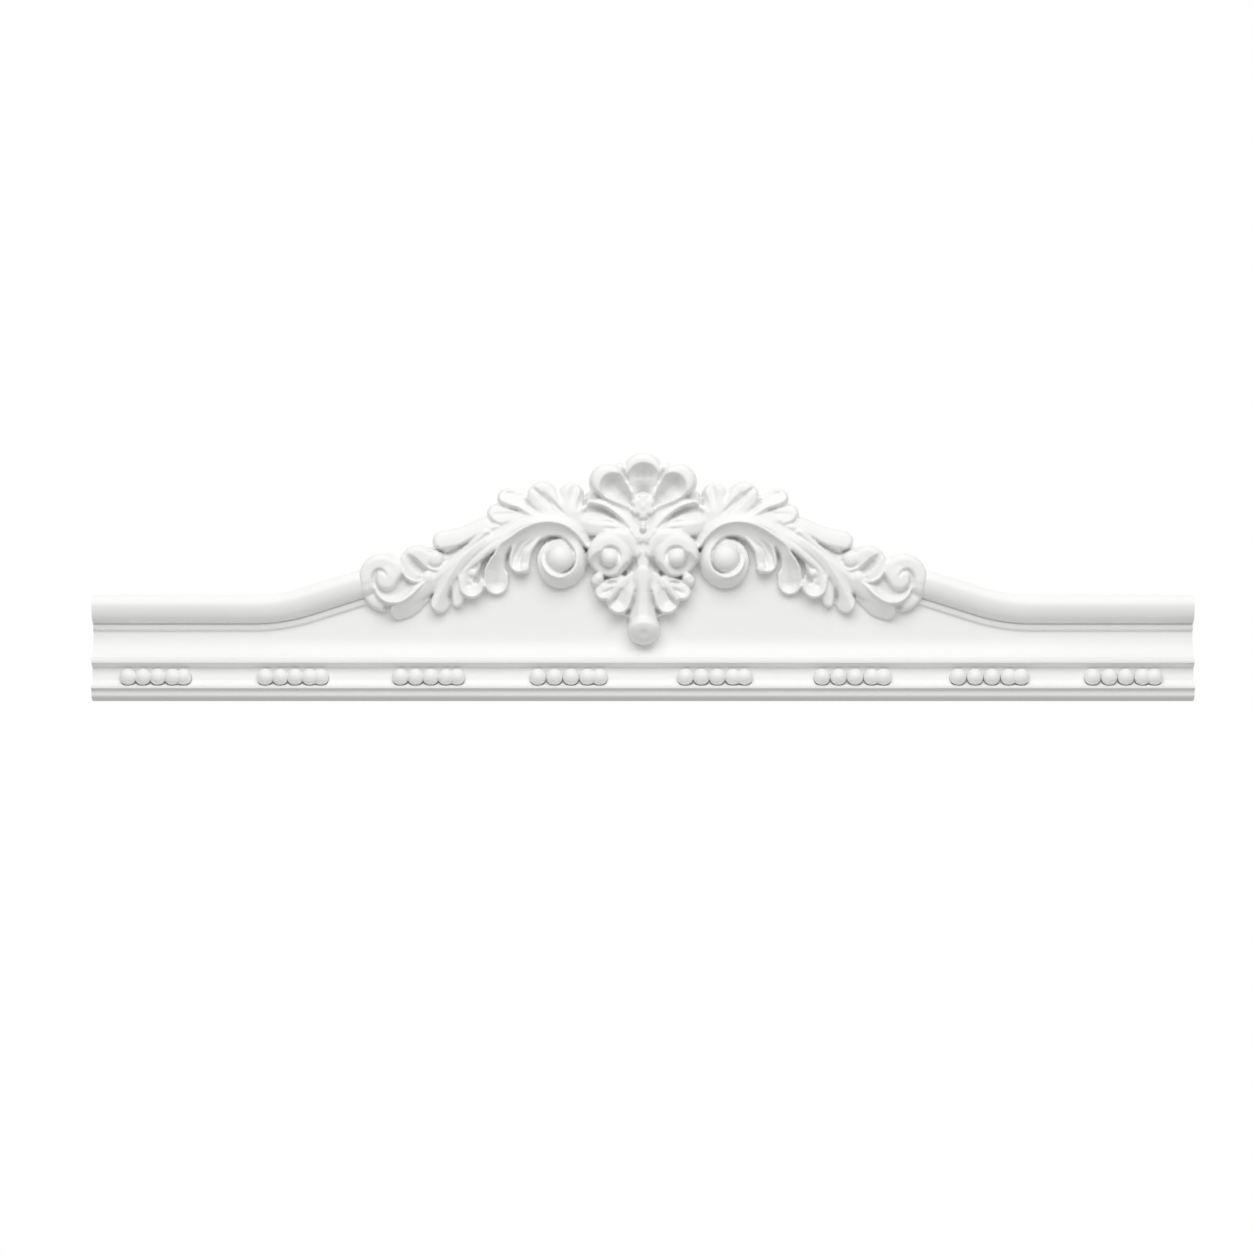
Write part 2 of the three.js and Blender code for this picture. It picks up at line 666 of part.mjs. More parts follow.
const sides = [rail(), ...scroll(), ...leavesOfSpray(), ...endVolute(), ...cartoucheSide()];
const whole = joined([
  lowerMoulding(),
  friezePlate(),
  shield(),
  ...beads(),
  ...sides,
  ...sides.map(mirrored),
  ...cartoucheMiddle(),
]).intersect(envelope());

const primedWhite = new THREE.MeshStandardMaterial({
  color: new THREE.Color(0.87, 0.87, 0.86),
  roughness: 0.6,
  metalness: 0,
});

const pediment = new THREE.Mesh(geometryOf(whole), primedWhite);
pediment.name = 'door_pediment';
pediment.position.z = -ORIGIN_HEIGHT;

const model = new THREE.Group();
model.add(pediment);

export default model;
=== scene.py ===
# A door pediment in one moulded piece of rigid foam, primed matt white: a beaded straight
# moulding, a torus rail that sweeps up to the middle, a flat frieze and a deep carving of
# two acanthus sprays and a shell cartouche.
#
# The frame is the model's own: metres, X along the moulding, Z up, the front facing -Y,
# the flat back on Y = 0. Sizes below are in millimetres, heights are above the underside
# and depths are in front of the wall, until a mesh is made.

import math

import bmesh
import bpy
import numpy as np
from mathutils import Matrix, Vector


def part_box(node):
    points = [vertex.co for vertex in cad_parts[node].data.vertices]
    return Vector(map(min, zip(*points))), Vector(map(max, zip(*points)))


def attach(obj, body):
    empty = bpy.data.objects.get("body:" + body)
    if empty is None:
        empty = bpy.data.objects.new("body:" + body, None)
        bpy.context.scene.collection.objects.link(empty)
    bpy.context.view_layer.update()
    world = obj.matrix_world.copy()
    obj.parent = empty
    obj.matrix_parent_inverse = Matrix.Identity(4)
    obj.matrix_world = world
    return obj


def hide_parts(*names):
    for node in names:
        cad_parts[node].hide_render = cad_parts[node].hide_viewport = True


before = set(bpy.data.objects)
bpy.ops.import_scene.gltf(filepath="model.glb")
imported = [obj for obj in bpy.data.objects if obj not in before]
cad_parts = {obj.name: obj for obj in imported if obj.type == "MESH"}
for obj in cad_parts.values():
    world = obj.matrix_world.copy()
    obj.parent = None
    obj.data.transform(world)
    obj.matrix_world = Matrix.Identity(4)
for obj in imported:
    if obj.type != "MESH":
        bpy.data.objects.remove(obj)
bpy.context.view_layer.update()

MM = 0.001
NODE = "door_pediment"
LOW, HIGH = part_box(NODE)
UNDERSIDE = LOW[2] / MM
HALF_LENGTH = HIGH[0] / MM

# The frieze and the lower moulding

FIELD = 22
OVOLO = {"from": (20, 0), "to": (41, 8)}
FILLET_TOP = 12.5
LIP = {"depth": 46, "foot": 15.5, "top": 17.5}
BEAD_COVE = {"depth": 32, "toe": 26, "top": 37}
RECESS = {"depth": 31, "top": 39}
SHELF = {"depth": 42, "foot": 45, "top": 48}
SHELF_STEP = {"depth": 40, "top": 50}
FRIEZE_FOOT = 51
FIELD_COVE_TOP = 73.5

# The frieze's top edge behind the carving, from the rail inwards: across, height

PLATE_TOP = [
    (306, 158), (290, 162), (262, 168), (240, 180), (200, 195), (165, 212), (130, 232),
    (85, 230), (64, 229), (50, 248), (28, 262), (0, 280),
]

# The beads

BEAD_RADIUS = 9.8
BEAD_MESH = (14, 24)
BEAD_SEAT = {"radius": 10.5, "drop": 0.9}
SEAT_MESH = (12, 20)
BEAD_HEIGHT = 28.5
BEAD_CENTRE_DEPTH = 35.5
BEADS_IN_GROUP = 5
LAST_BEAD_STEP = 0.72
BEAD_GROUPS = [
    {"shift": -6, "pitch": 17.2},
    {"shift": -6.6, "pitch": 17.2},
    {"shift": -9, "pitch": 17.6},
    {"shift": -6.4, "pitch": 19.2},
    {"shift": 3.5, "pitch": 18.4},
    {"shift": 3.6, "pitch": 19.2},
    {"shift": 2.5, "pitch": 19.6},
    {"shift": -2, "pitch": 19.3},
]

# The torus rail and its strip: depths, and drops below the rail's top edge

RAIL_TOP = 124
RAIL_SLOPE = math.radians(17.5)
RAIL_BEND_RADIUS = 190
RAIL_DEPTH = 42
RAIL_TOP_DEPTH = 18
RAIL_CROWN_DROP = 12
RAIL_WIDTH = 33.5
RAIL_FOOT_DEPTH = 25
STRIP_SEAT = 25
STRIP_DEPTH = 26.5
STRIP_WIDTH = 6.5
STRIP_NOSE_DROP = 1
STRIP_FOOT = 2.5
RAIL_MEETS = (335, 152)
RAIL_END = 303

# How finely things are cut, and how far each runs on past the cut ends and back, which differs
# so that no two backs or ends lie in one plane

RELIEF_STEP = 1.12
STRIPS = 97
SPECK = 0.002
RUN_ON = 4
FRIEZE_RUN_ON = 5
RAIL_RUN_ON = 6
CUT = {"depth": 200, "low": -50, "high": 2000}

# The carving's grid: how far it reaches, and its depth where there is no carving

CARVING = {"reach": 336, "low": 60, "high": 294}
OUTSIDE = -7.0

# The finish: which faces are carved, which edges are sharp, and what counts as a recess for the
# painted shade that darkens the carving's hollows, with its reaches in rounds of blur or of
# narrowing, and the depth in millimetres at which the painted shade is full

CARVED = 1
ARRIS_ANGLE = math.radians(30)
PAINTED_SHADE_BLUR = 120
PAINTED_SHADE_FULL = 9
PAINTED_SHADE_RIM = 2


# Solids from numbers


def mesh_object(name, points, faces):
    """A new closed object from points in millimetres (across, depth, height) and faces, which
    are all turned outward."""
    mesh = bpy.data.meshes.new(name)
    placed = [(x * MM, -depth * MM, (height + UNDERSIDE) * MM) for x, depth, height in points]
    mesh.from_pydata(placed, [], faces)
    shape = bmesh.new()
    shape.from_mesh(mesh)
    if shape.calc_volume(signed=True) < 0:
        mesh.flip_normals()
    shape.free()
    thing = bpy.data.objects.new(name, mesh)
    bpy.context.scene.collection.objects.link(thing)
    return thing


def loft(name, rings):
    """A closed skin over rings of equal length, each end closed by one face."""
    size = len(rings[0])
    points = [point for ring in rings for point in ring]
    faces = []
    for ring in range(len(rings) - 1):
        for side in range(size):
            here = ring * size + side
            beside = ring * size + (side + 1) % size
            faces.append((here, beside, beside + size, here + size))
    last = (len(rings) - 1) * size
    faces.append(tuple(reversed(range(size))))
    faces.append(tuple(range(last, last + size)))
    return mesh_object(name, points, faces)


def quarter(start, end, depth_first, steps=8):
    """A quarter of an ellipse between two profile points, without its first point."""
    points = []
    for step in range(1, steps + 1):
        turn = step / steps * math.pi / 2
        early, late = math.sin(turn), 1 - math.cos(turn)
        depth_share, height_share = (early, late) if depth_first else (late, early)
        points.append((
            start[0] + (end[0] - start[0]) * depth_share,
            start[1] + (end[1] - start[1]) * height_share,
        ))
    return points


def strip_stations(run_on):
    """Even stations from end to end, closer than the beads, so that no face takes in a hole."""
    return np.linspace(-HALF_LENGTH - run_on, HALF_LENGTH + run_on, STRIPS)


def lower_moulding():
    """The straight moulding from the ovolo up to the cove under the frieze."""
    profile = [
        (-RUN_ON, 0),
        OVOLO["from"],
        *quarter(OVOLO["from"], OVOLO["to"], True),
        (OVOLO["to"][0], FILLET_TOP),
        (LIP["depth"], LIP["foot"]),
        (LIP["depth"], LIP["top"]),
        *quarter((LIP["depth"], LIP["top"]), (BEAD_COVE["depth"], BEAD_COVE["toe"]), True),
        (BEAD_COVE["depth"], BEAD_COVE["top"]),
        (RECESS["depth"], RECESS["top"]),
        (SHELF["depth"], SHELF["foot"]),
        (SHELF["depth"], SHELF["top"]),
        (SHELF_STEP["depth"], SHELF["top"]),
        (SHELF_STEP["depth"], SHELF_STEP["top"]),
        *quarter((SHELF_STEP["depth"], SHELF_STEP["top"]), (FIELD, FIELD_COVE_TOP), True),
        (-RUN_ON, FIELD_COVE_TOP),
    ]
    return loft("moulding", [[(x, depth, z) for depth, z in profile] for x in strip_stations(RUN_ON)])


def rail_stations(bends=16):
    """Points along the rail's top edge on one side: across, height, lean and fullness."""
    rise = RAIL_BEND_RADIUS * (1 - math.cos(RAIL_SLOPE))
    inner = RAIL_MEETS[0] + (RAIL_MEETS[1] - RAIL_TOP - rise) / math.tan(RAIL_SLOPE)
    outer = inner + RAIL_BEND_RADIUS * math.sin(RAIL_SLOPE)
    stations = [(HALF_LENGTH + RAIL_RUN_ON, RAIL_TOP, 0, 1)]
    for step in range(bends + 1):
        lean = RAIL_SLOPE * step / bends
        stations.append((
            outer - RAIL_BEND_RADIUS * math.sin(lean),
            RAIL_TOP + RAIL_BEND_RADIUS * (1 - math.cos(lean)),
            lean,
            1,
        ))
    end_height = RAIL_MEETS[1] + (RAIL_MEETS[0] - RAIL_END) * math.tan(RAIL_SLOPE)
    stations.append((*RAIL_MEETS, RAIL_SLOPE, 1))
    stations.append((RAIL_END, end_height, RAIL_SLOPE, 0.75))
    return stations


def rail(side):
    """The torus rail and its strip on one side, up to the end volute."""
    strip_top = RAIL_WIDTH + 1
    strip_end = strip_top + STRIP_WIDTH
    nose = strip_top + STRIP_NOSE_DROP
    strip = [
        (STRIP_SEAT, strip_top),
        *quarter((STRIP_SEAT, strip_top), (STRIP_DEPTH, nose), True, 4),
        *quarter((STRIP_DEPTH, nose), (STRIP_SEAT, strip_end), False, 6),
    ]
    section = [
        (-RAIL_RUN_ON, 0),
        (RAIL_TOP_DEPTH, 0),
        *quarter((RAIL_TOP_DEPTH, 0), (RAIL_DEPTH, RAIL_CROWN_DROP), True),
        *quarter((RAIL_DEPTH, RAIL_CROWN_DROP), (RAIL_FOOT_DEPTH, RAIL_WIDTH), False),
        (STRIP_SEAT, RAIL_WIDTH + 0.3),
        *strip,
        (FIELD - 1, strip_end + STRIP_FOOT),
        (-RAIL_RUN_ON, strip_end + STRIP_FOOT),
    ]
    rings = [
        [
            (side * (x - drop * math.sin(lean)), depth * fullness, z - drop * math.cos(lean))
            for depth, drop in section
        ]
        for x, z, lean, fullness in rail_stations()
    ]
    return loft("rail", rings if side > 0 else rings[::-1])


def frieze():
    """The flat plate between the lower moulding, the rails and the carving's top."""
    under = RAIL_WIDTH / 2
    top = [
        (x - under * math.sin(lean), z - under * math.cos(lean))
        for x, z, lean, _ in rail_stations()[:-1]
    ]
    across, heights = zip(*reversed(top + PLATE_TOP))
    rings = []
    for x in strip_stations(FRIEZE_RUN_ON):
        z = np.interp(abs(x), across, heights)
        rings.append([
            (x, -FRIEZE_RUN_ON, FRIEZE_FOOT), (x, FIELD, FRIEZE_FOOT), (x, FIELD, z), (x, -FRIEZE_RUN_ON, z),
        ])
    return loft("frieze", rings)


def balls(radius, height, rings, sides):
    """Balls in the cove, in groups spread evenly but for each group's own shift."""
    every = 2 * HALF_LENGTH / len(BEAD_GROUPS)
    points, faces = [], []
    for group, sizes in enumerate(BEAD_GROUPS):
        middle = (group + 0.5) * every - HALF_LENGTH + sizes["shift"]
        span = sizes["pitch"] * (BEADS_IN_GROUP - 2 + LAST_BEAD_STEP)
        for bead in range(BEADS_IN_GROUP):
            steps = bead if bead < BEADS_IN_GROUP - 1 else bead - 1 + LAST_BEAD_STEP
            x = middle - span / 2 + steps * sizes["pitch"]
            first = len(points)
            points.append((x, BEAD_CENTRE_DEPTH + radius, height))
            for ring in range(1, rings):
                tilt = math.pi * ring / rings
                for side in range(sides):
                    turn = 2 * math.pi * side / sides
                    points.append((
                        x + radius * math.sin(tilt) * math.cos(turn),
                        BEAD_CENTRE_DEPTH + radius * math.cos(tilt),
                        height + radius * math.sin(tilt) * math.sin(turn),
                    ))
            points.append((x, BEAD_CENTRE_DEPTH - radius, height))
            last = len(points) - 1
            for side in range(sides):
                beside = (side + 1) % sides
                faces.append((first, first + 1 + side, first + 1 + beside))
                for ring in range(rings - 2):
                    row = first + 1 + ring * sides
                    faces.append((row + side, row + sides + side, row + sides + beside, row + beside))
                row = last - sides
                faces.append((row + side, last, row + beside))
    return points, faces


# The carving's relief: a depth for every point of a fine grid


class Relief:
    """Depth in front of the wall over a grid that takes in the whole carving."""

    def __init__(self, reach, low, high):
        self.xs = np.arange(-reach, reach + RELIEF_STEP, RELIEF_STEP)
        self.zs = np.arange(low, high + RELIEF_STEP, RELIEF_STEP)
        self.depth = np.full((len(self.xs), len(self.zs)), OUTSIDE)

    def window(self, low_x, high_x, low_z, high_z):
        a, b = np.searchsorted(self.xs, (low_x, high_x))
        c, d = np.searchsorted(self.zs, (low_z, high_z))
        return slice(max(a - 1, 0), b + 1), slice(max(c - 1, 0), d + 1)

    def points(self, window):
        return np.meshgrid(self.xs[window[0]], self.zs[window[1]], indexing="ij")

    def build_up(self, window, depth, soft):
        """The higher of what is there and the new form, with a soft crease between."""
        here = self.depth[window]
        gap = np.clip(1 - np.abs(here - depth) / soft, 0, 1)
        self.depth[window] = np.maximum(here, depth) + soft / 4 * gap ** 2

    def soften(self, rounds):
        """The rounding of fine edges by the cast and its primer."""
        for _ in range(rounds):
            for axis in (0, 1):
                depth = np.moveaxis(self.depth, axis, 0)
                inside = (depth > OUTSIDE).astype(float)
                padded = np.pad(depth * inside, ((1, 1), (0, 0)))
                weight = np.pad(inside, ((1, 1), (0, 0)))
                total = padded[:-2] + 2 * padded[1:-1] + padded[2:]
                share = weight[:-2] + 2 * weight[1:-1] + weight[2:]
                depth[:] = np.where(inside > 0, total / np.maximum(share, 1), depth)

    def cut(self, window, amount):
        here = self.depth[window]
        self.depth[window] = np.where(here > OUTSIDE, here - amount, here)


def smooth_line(points, count=48):
    """An even run of points on a smooth curve through the given ones."""
    knots = np.array(points, float)
    if len(knots) == 2:
        return np.linspace(knots[0], knots[1], count)
    padded = np.vstack([2 * knots[0] - knots[1], knots, 2 * knots[-1] - knots[-2]])
    pieces = []
    for p0, p1, p2, p3 in zip(padded, padded[1:], padded[2:], padded[3:]):
        t0, t1 = 0.0, np.linalg.norm(p1 - p0) ** 0.5
        t2 = t1 + np.linalg.norm(p2 - p1) ** 0.5
        t3 = t2 + np.linalg.norm(p3 - p2) ** 0.5
        t = np.linspace(t1, t2, 17)[:, None]
        a1 = (t1 - t) / (t1 - t0) * p0 + (t - t0) / (t1 - t0) * p1
        a2 = (t2 - t) / (t2 - t1) * p1 + (t - t1) / (t2 - t1) * p2
        a3 = (t3 - t) / (t3 - t2) * p2 + (t - t2) / (t3 - t2) * p3
        b1 = (t2 - t) / (t2 - t0) * a1 + (t - t0) / (t2 - t0) * a2
        b2 = (t3 - t) / (t3 - t1) * a2 + (t - t1) / (t3 - t1) * a3
        pieces.append((t2 - t) / (t2 - t1) * b1 + (t - t1) / (t2 - t1) * b2)
    curve = np.vstack(pieces)
    steps = np.r_[0, np.cumsum(np.linalg.norm(np.diff(curve, axis=0), axis=1))]
    even = np.linspace(0, steps[-1], count)
    return np.column_stack([np.interp(even, steps, curve[:, axis]) for axis in (0, 1)])


def along(values, share):
    """The value of a list spread evenly over a line, at shares of its length."""
    values = np.atleast_1d(np.array(values, float))
    return np.interp(share, np.linspace(0, 1, len(values)), values)


def beside(relief, side, points, reach):
    """For each grid point near a line: its share, its offset to the left and its distance."""
    line = smooth_line([(side * x, z) for x, z in points])
    low, high = line.min(axis=0) - reach, line.max(axis=0) + reach
    window = relief.window(low[0], high[0], low[1], high[1])
    x, z = relief.points(window)
    start, run = line[:-1], np.diff(line, axis=0)
    length = np.linalg.norm(run, axis=1)
    nearest = np.full(x.shape, 1e9)
    share = np.zeros(x.shape)
    offset = np.zeros(x.shape)
    for index in range(len(run)):
        dx, dz = x - start[index, 0], z - start[index, 1]
        t = np.clip((dx * run[index, 0] + dz * run[index, 1]) / length[index] ** 2, 0, 1)
        distance = np.hypot(dx - t * run[index, 0], dz - t * run[index, 1])
        closer = distance < nearest
        nearest = np.where(closer, distance, nearest)
        share = np.where(closer, (index + t) / len(run), share)
        left = (run[index, 0] * dz - run[index, 1] * dx) / length[index]
        offset = np.where(closer, side * left, offset)
    return window, share, offset, nearest


WALL_SLOPE = 18
WALL_LEAN = 1.0
WALL_REACH = 3


def rounded(inward, edge):
    """The drop of a quarter-round edge, then of a steep wall outside it."""
    inward = inward - WALL_LEAN
    inside = np.clip(inward, 0, edge)
    drop = edge - np.sqrt(np.maximum(edge ** 2 - (edge - inside) ** 2, 0))
    return drop - np.minimum(inward, 0) * WALL_SLOPE


def sheet(rises, share, across):
    """Rises over a leaf: one number, a list along it, or a table whose rows follow one
    another along it and run from its left to its right."""
    if np.ndim(rises) < 2:
        return along(rises, share)
    table = np.array(rises, float)
    rows, columns = table.shape
    down = share * (rows - 1)
    over = (1 - across) / 2 * (columns - 1)
    row = np.minimum(down.astype(int), rows - 2)
    column = np.minimum(over.astype(int), columns - 2)
    down, over = down - row, over - column
    upper = table[row, column] * (1 - over) + table[row, column + 1] * over
    lower = table[row + 1, column] * (1 - over) + table[row + 1, column + 1] * over
    return upper * (1 - down) + lower * down


def leaf(relief, side, points, half, rise, crown=0, edge=3.0, soft=1.5):
    """A leaf, stem or ribbon along a line that ends in the middle of its round tip."""
    reach = np.max(half) + WALL_REACH
    window, share, offset, distance = beside(relief, side, points, reach)
    width = along(half, share)
    across = np.clip(offset / width, -1, 1)
    face = sheet(rise, share, across)
    face += along(crown, share) * (1 - np.clip(distance / width, 0, 1) ** 2)
    face -= rounded(width - distance, edge)
    relief.build_up(window, np.maximum(FIELD + face, OUTSIDE), soft)


def boss(relief, side, at, radius, rise, dome, soft=1.0):
    """A round boss with a domed top."""
    x0, z0 = side * at[0], at[1]
    reach = radius + WALL_REACH
    window = relief.window(x0 - reach, x0 + reach, z0 - reach, z0 + reach)
    x, z = relief.points(window)
    distance = np.hypot(x - x0, z - z0)
    inside = np.clip(distance / radius, 0, 1)
    face = rise - dome + dome * np.sqrt(1 - inside ** 2)
    face -= np.maximum(distance - radius, 0) * WALL_SLOPE
    relief.build_up(window, np.maximum(FIELD + face, OUTSIDE), soft)


def groove(relief, side, points, half, deep, softness=1.5):
    """A valley along a line, or a ridge where deep is below zero. Its depth is given along
    it, and a softness below 1 gives it steep banks."""
    window, share, _, distance = beside(relief, side, points, np.max(half) + 1)
    profile = np.clip(1 - (distance / along(half, share)) ** 2, 0, 1) ** softness
    relief.cut(window, along(deep, share) * profile)


def scoop(relief, side, points, half, deep):
    """The hollow of a cupped leaf, with a clear rim and a round end."""
    groove(relief, side, points, half, deep, softness=0.75)


def dent(relief, side, at, radius, deep):
    """A round hollow."""
    x0, z0 = side * at[0], at[1]
    window = relief.window(x0 - radius, x0 + radius, z0 - radius, z0 + radius)
    x, z = relief.points(window)
    relief.cut(window, deep * np.clip(1 - ((x - x0) ** 2 + (z - z0) ** 2) / radius ** 2, 0, 1))


def arc(at, radius, start, end, count=9):
    """Points on part of a circle, between two turns in degrees."""
    turns = np.radians(np.linspace(start, end, count))
    return [(at[0] + radius * math.cos(turn), at[1] + radius * math.sin(turn)) for turn in turns]


# The carving, drawn for the right-hand side

VOLUTE = (96, 166)
END_VOLUTE = (303, 143)
EYE = (38.5, 167)


def spray(relief, side):
    """One acanthus spray, from the cartouche to the end volute."""
    # the bed that all the leaves spring from
    leaf(relief, side, [(70, 195), (100, 203), (140, 203), (175, 188), (205, 167), (235, 144), (262, 126)],
         [14, 20, 20, 20, 16, 12, 8], 9, edge=4)
    leaf(relief, side, [(250, 150), (275, 146), (300, 140)], [14, 14, 14], 11, edge=3)
    leaf(relief, side, [(238, 172), (254, 168)], [9, 9], 9, edge=4)
    leaf(relief, side, [(203, 187), (220, 175), (237, 164)], [6, 8, 7], [13, 14, 13], edge=4)

    upper_leaves(relief, side)
    lower_leaves(relief, side)

    # the stem, which faces up all along its scroll and has a flatter flank beyond it
    leaf(relief, side,
         [(64, 182), (72, 196), (84, 208), (100, 215), (118, 216), (140, 210), (165, 195), (190, 177),
          (215, 158), (240, 139), (262, 123), (280, 111)],
         [5, 8, 9.5, 10.5, 11.5, 12.5, 13, 13.5, 12.5, 10.5, 8, 5],
         [[15, 18, 22, 25], [16, 21, 26, 31], [15, 20, 26, 33], [13, 19, 26, 33], [14, 19, 25, 31],
          [18, 22, 24, 24], [19, 21, 19, 17], [18, 20, 17, 13], [17, 18, 15, 10], [17, 17, 14, 10]],
         edge=1.6, soft=4)
    groove(relief, side, [(158, 205), (185, 190), (207, 174), (228, 158)], [2, 3, 3, 2], [0, 1.6, 1.6, 0])
    groove(relief, side, [(150, 199), (176, 183), (198, 165), (216, 146)], [1.5, 2.4, 2.6, 2], [0, 1.8, 2, 0])
    groove(relief, side, [(160, 187), (180, 171), (193, 153)], [1.5, 2.2, 1.5], [0, 1.8, 0])

    scroll(relief, side)
    end_volute(relief, side)


def upper_leaves(relief, side):
    """The leaves above the stem, from the end volute inwards."""
    leaf(relief, side, [(160, 213), (186, 203), (211, 191.5), (233.5, 186.5)], [7, 10, 11, 11.5],
         [[15, 19, 22], [13, 18, 21], [13, 17, 19], [13, 16, 17]], edge=5)
    leaf(relief, side, [(138, 212), (156, 216.5), (169, 217.5)], [8, 11, 12.5],
         [[16, 19, 20], [14, 18, 20], [12, 16, 18]], edge=4.5)
    groove(relief, side, [(134, 217), (150, 218), (172, 217)], [2, 2.5, 2.5], [0, 2, 1])
    leaf(relief, side, [(116, 213), (136, 227), (158, 236.5)], [7, 10.5, 11],
         [[14, 14, 18, 22, 21], [16, 13, 17, 22, 19], [15, 14, 17, 20, 17]], edge=3.5)
    groove(relief, side, [(121, 219), (133, 231), (145, 240), (157, 242)], [2.5, 3.6, 4, 2.6],
           [1, 5, 6, 2], softness=1)
    groove(relief, side, [(140, 220.5), (148, 223), (155, 224.5)], [2, 3, 2], [2, 6, 3])
    leaf(relief, side, [(92, 206), (106, 226), (117, 237.5)], [8, 16, 18], [20, 21, 18], crown=2, edge=5)
    groove(relief, side, [(98, 214), (110, 229), (120, 240), (127, 246)], [1.5, 3, 4, 3.4],
           [0, 5, 6, 4], softness=1.1)
    groove(relief, side, [(86, 212), (97, 222), (108, 233), (115, 241)], [1.5, 3, 3.6, 3],
           [0, 4, 5, 2], softness=1.1)
    groove(relief, side, [(101, 246), (97, 234), (92, 222)], [2.5, 2.5, 1.5], [3, 3, 0])
    leaf(relief, side, [(74, 200), (81, 220), (84, 239.5)], [8, 13, 14.5], [19, 20, 17], crown=2, edge=5)
    groove(relief, side, [(84, 222), (82, 236), (80, 247)], [2, 5, 6], [0, 2.5, 4])
    groove(relief, side, [(76, 220), (72, 232), (67, 239)], [2, 5, 6], [0, 4, 6], softness=1)


def lower_leaves(relief, side):
    """The leaves below the stem, from the scroll outwards."""
    leaf(relief, side, [(186, 186), (197, 166), (201, 146), (199, 134)], [7, 10, 14, 15],
         [[23, 23, 20], [21, 20, 16], [21, 18, 16], [22, 20, 19]], crown=[0, 0, -5, -6], edge=1.8)
    groove(relief, side, [(181, 165), (187, 151), (194, 139)], [4, 4.6, 3.6], [10, 13, 9], softness=1)
    boss(relief, side, (197.5, 149), 5, 18, 4, soft=3)
    dent(relief, side, (203, 135), 4, 2.5)
    leaf(relief, side, [(204, 154), (212, 132), (216.5, 117)], [5, 8, 8.6],
         [[15, 18, 15], [14, 17, 13], [12, 14, 11]], edge=2.5)
    leaf(relief, side, [(182, 192), (204, 166), (222, 140), (235.5, 114)], [8, 13, 14, 12.5],
         [[24, 24, 21, 16], [20, 23, 17, 10], [17, 21, 14, 6], [14, 17, 12, 6]], edge=1.6, soft=3)
    groove(relief, side, [(196, 168), (212, 148), (224, 128), (231, 112)], [1.5, 2.5, 3, 2], [0, 1.6, 2, 0])
    groove(relief, side, [(224, 131), (224.5, 121), (222.5, 112)], [2, 3, 2.5], [3, 8, 8], softness=1)
    leaf(relief, side, [(246, 137), (260, 122), (273, 109), (284, 104)], [7, 13, 13, 10.5],
         [[19, 16, 11, 6], [25, 18, 11, 3], [25, 18, 10, 2], [23, 17, 10, 3]], edge=1)


def scroll(relief, side):
    """The ribbon under the stem, its volute and the leaf that splits from it."""
    # the ribbon, from its cupped tip over the top and round the volute
    leaf(relief, side,
         [(170.5, 137.5), (170, 150), (165, 165), (156, 179), (139, 193), (120, 198), (104, 198.5),
          (90, 194), (79, 184), (72, 170), (73, 155), (83, 143), (98, 138.5), (112, 144), (119, 156),
          (119, 169), (113, 180), (102, 185.5), (92, 183), (86, 174)],
         [15, 15, 11, 11, 12.5, 13, 12, 11, 9.4, 7.4, 7.4, 8.6, 9, 8.5, 6.5, 5.5, 5, 4.5, 4, 3],
         [[12, 10, 10, 13, 18], [12, 11, 12, 16, 23], [13, 13, 16, 21, 28], [14, 15, 18, 22, 29],
          [15, 16.5, 19.5, 24, 32], [16, 17.5, 20.5, 25, 33], [16, 17.5, 20.5, 25, 33],
          [16, 17, 19.5, 23.5, 30], [16, 17, 18.5, 20, 23], [20, 20, 19, 18, 17], [24, 23, 20, 16, 11],
          [26, 24, 20, 14, 7], [26, 24, 20, 13, 5], [25, 23, 19, 13, 6], [21, 20, 18, 14, 9],
          [17, 17, 16, 13, 10], [15, 15, 14, 13, 12], [15, 15, 14, 13, 13], [16, 16, 16, 16, 16],
          [18, 18, 18, 18, 18]],
         crown=[-5, -2, 0, 0, 0, 0, 0, 0, 0, 0, 0, 0, 0, 0, 0, 0, 0, 0, 0], edge=1.2)
    groove(relief, side, [(128, 176), (119, 184), (110, 188.5), (99, 190), (92, 189.5)],
           [1.5, 2.4, 3, 2.6, 1.5], [1, 6, 8, 4, 0], softness=1)

    # the inner leaf, with folds that run down it
    leaf(relief, side, [(118, 194), (130, 186), (140, 175), (144, 162)], [4, 8.5, 12.5, 14],
         [[13, 15, 17, 20], [12, 14, 17, 22], [19, 14, 20, 17], [21, 17, 20, 17]],
         crown=[0, 0, -1, -4], edge=1.2)
    groove(relief, side, [(124, 189), (135, 180), (142, 168), (144, 156)], [1.5, 2.4, 2.8, 2.6],
           [0, 4, 5, 3], softness=1)
    groove(relief, side, [(133, 189), (144, 180), (150, 167), (151, 156)], [1.2, 2, 2.2, 2],
           [0, 3, 4, 2], softness=1)
    groove(relief, side, [(154, 178), (157.5, 167), (157, 154), (151, 147)], [2, 3.2, 3.4, 3],
           [4, 13, 14, 8], softness=1)
    boss(relief, side, (137, 154.5), 6, 18, 4, soft=3)

    # the volute's lip, which faces up to the ball in its ring
    boss(relief, side, VOLUTE, 23, 14, 2)
    leaf(relief, side, arc(VOLUTE, 19.6, 215, 372, 12), [2.4, 3.8, 4.6, 4.8, 4.4, 3.6, 2.4],
         [[16, 17], [18, 22], [20, 28], [20, 30], [19, 28], [16, 22], [13, 16]], edge=1)
    boss(relief, side, VOLUTE, 16.4, 32, 16)
    groove(relief, side, arc(VOLUTE, 17, 195, 285, 8), [1.5, 2.2, 2.2, 1.5], [1, 5, 5, 1], softness=1)


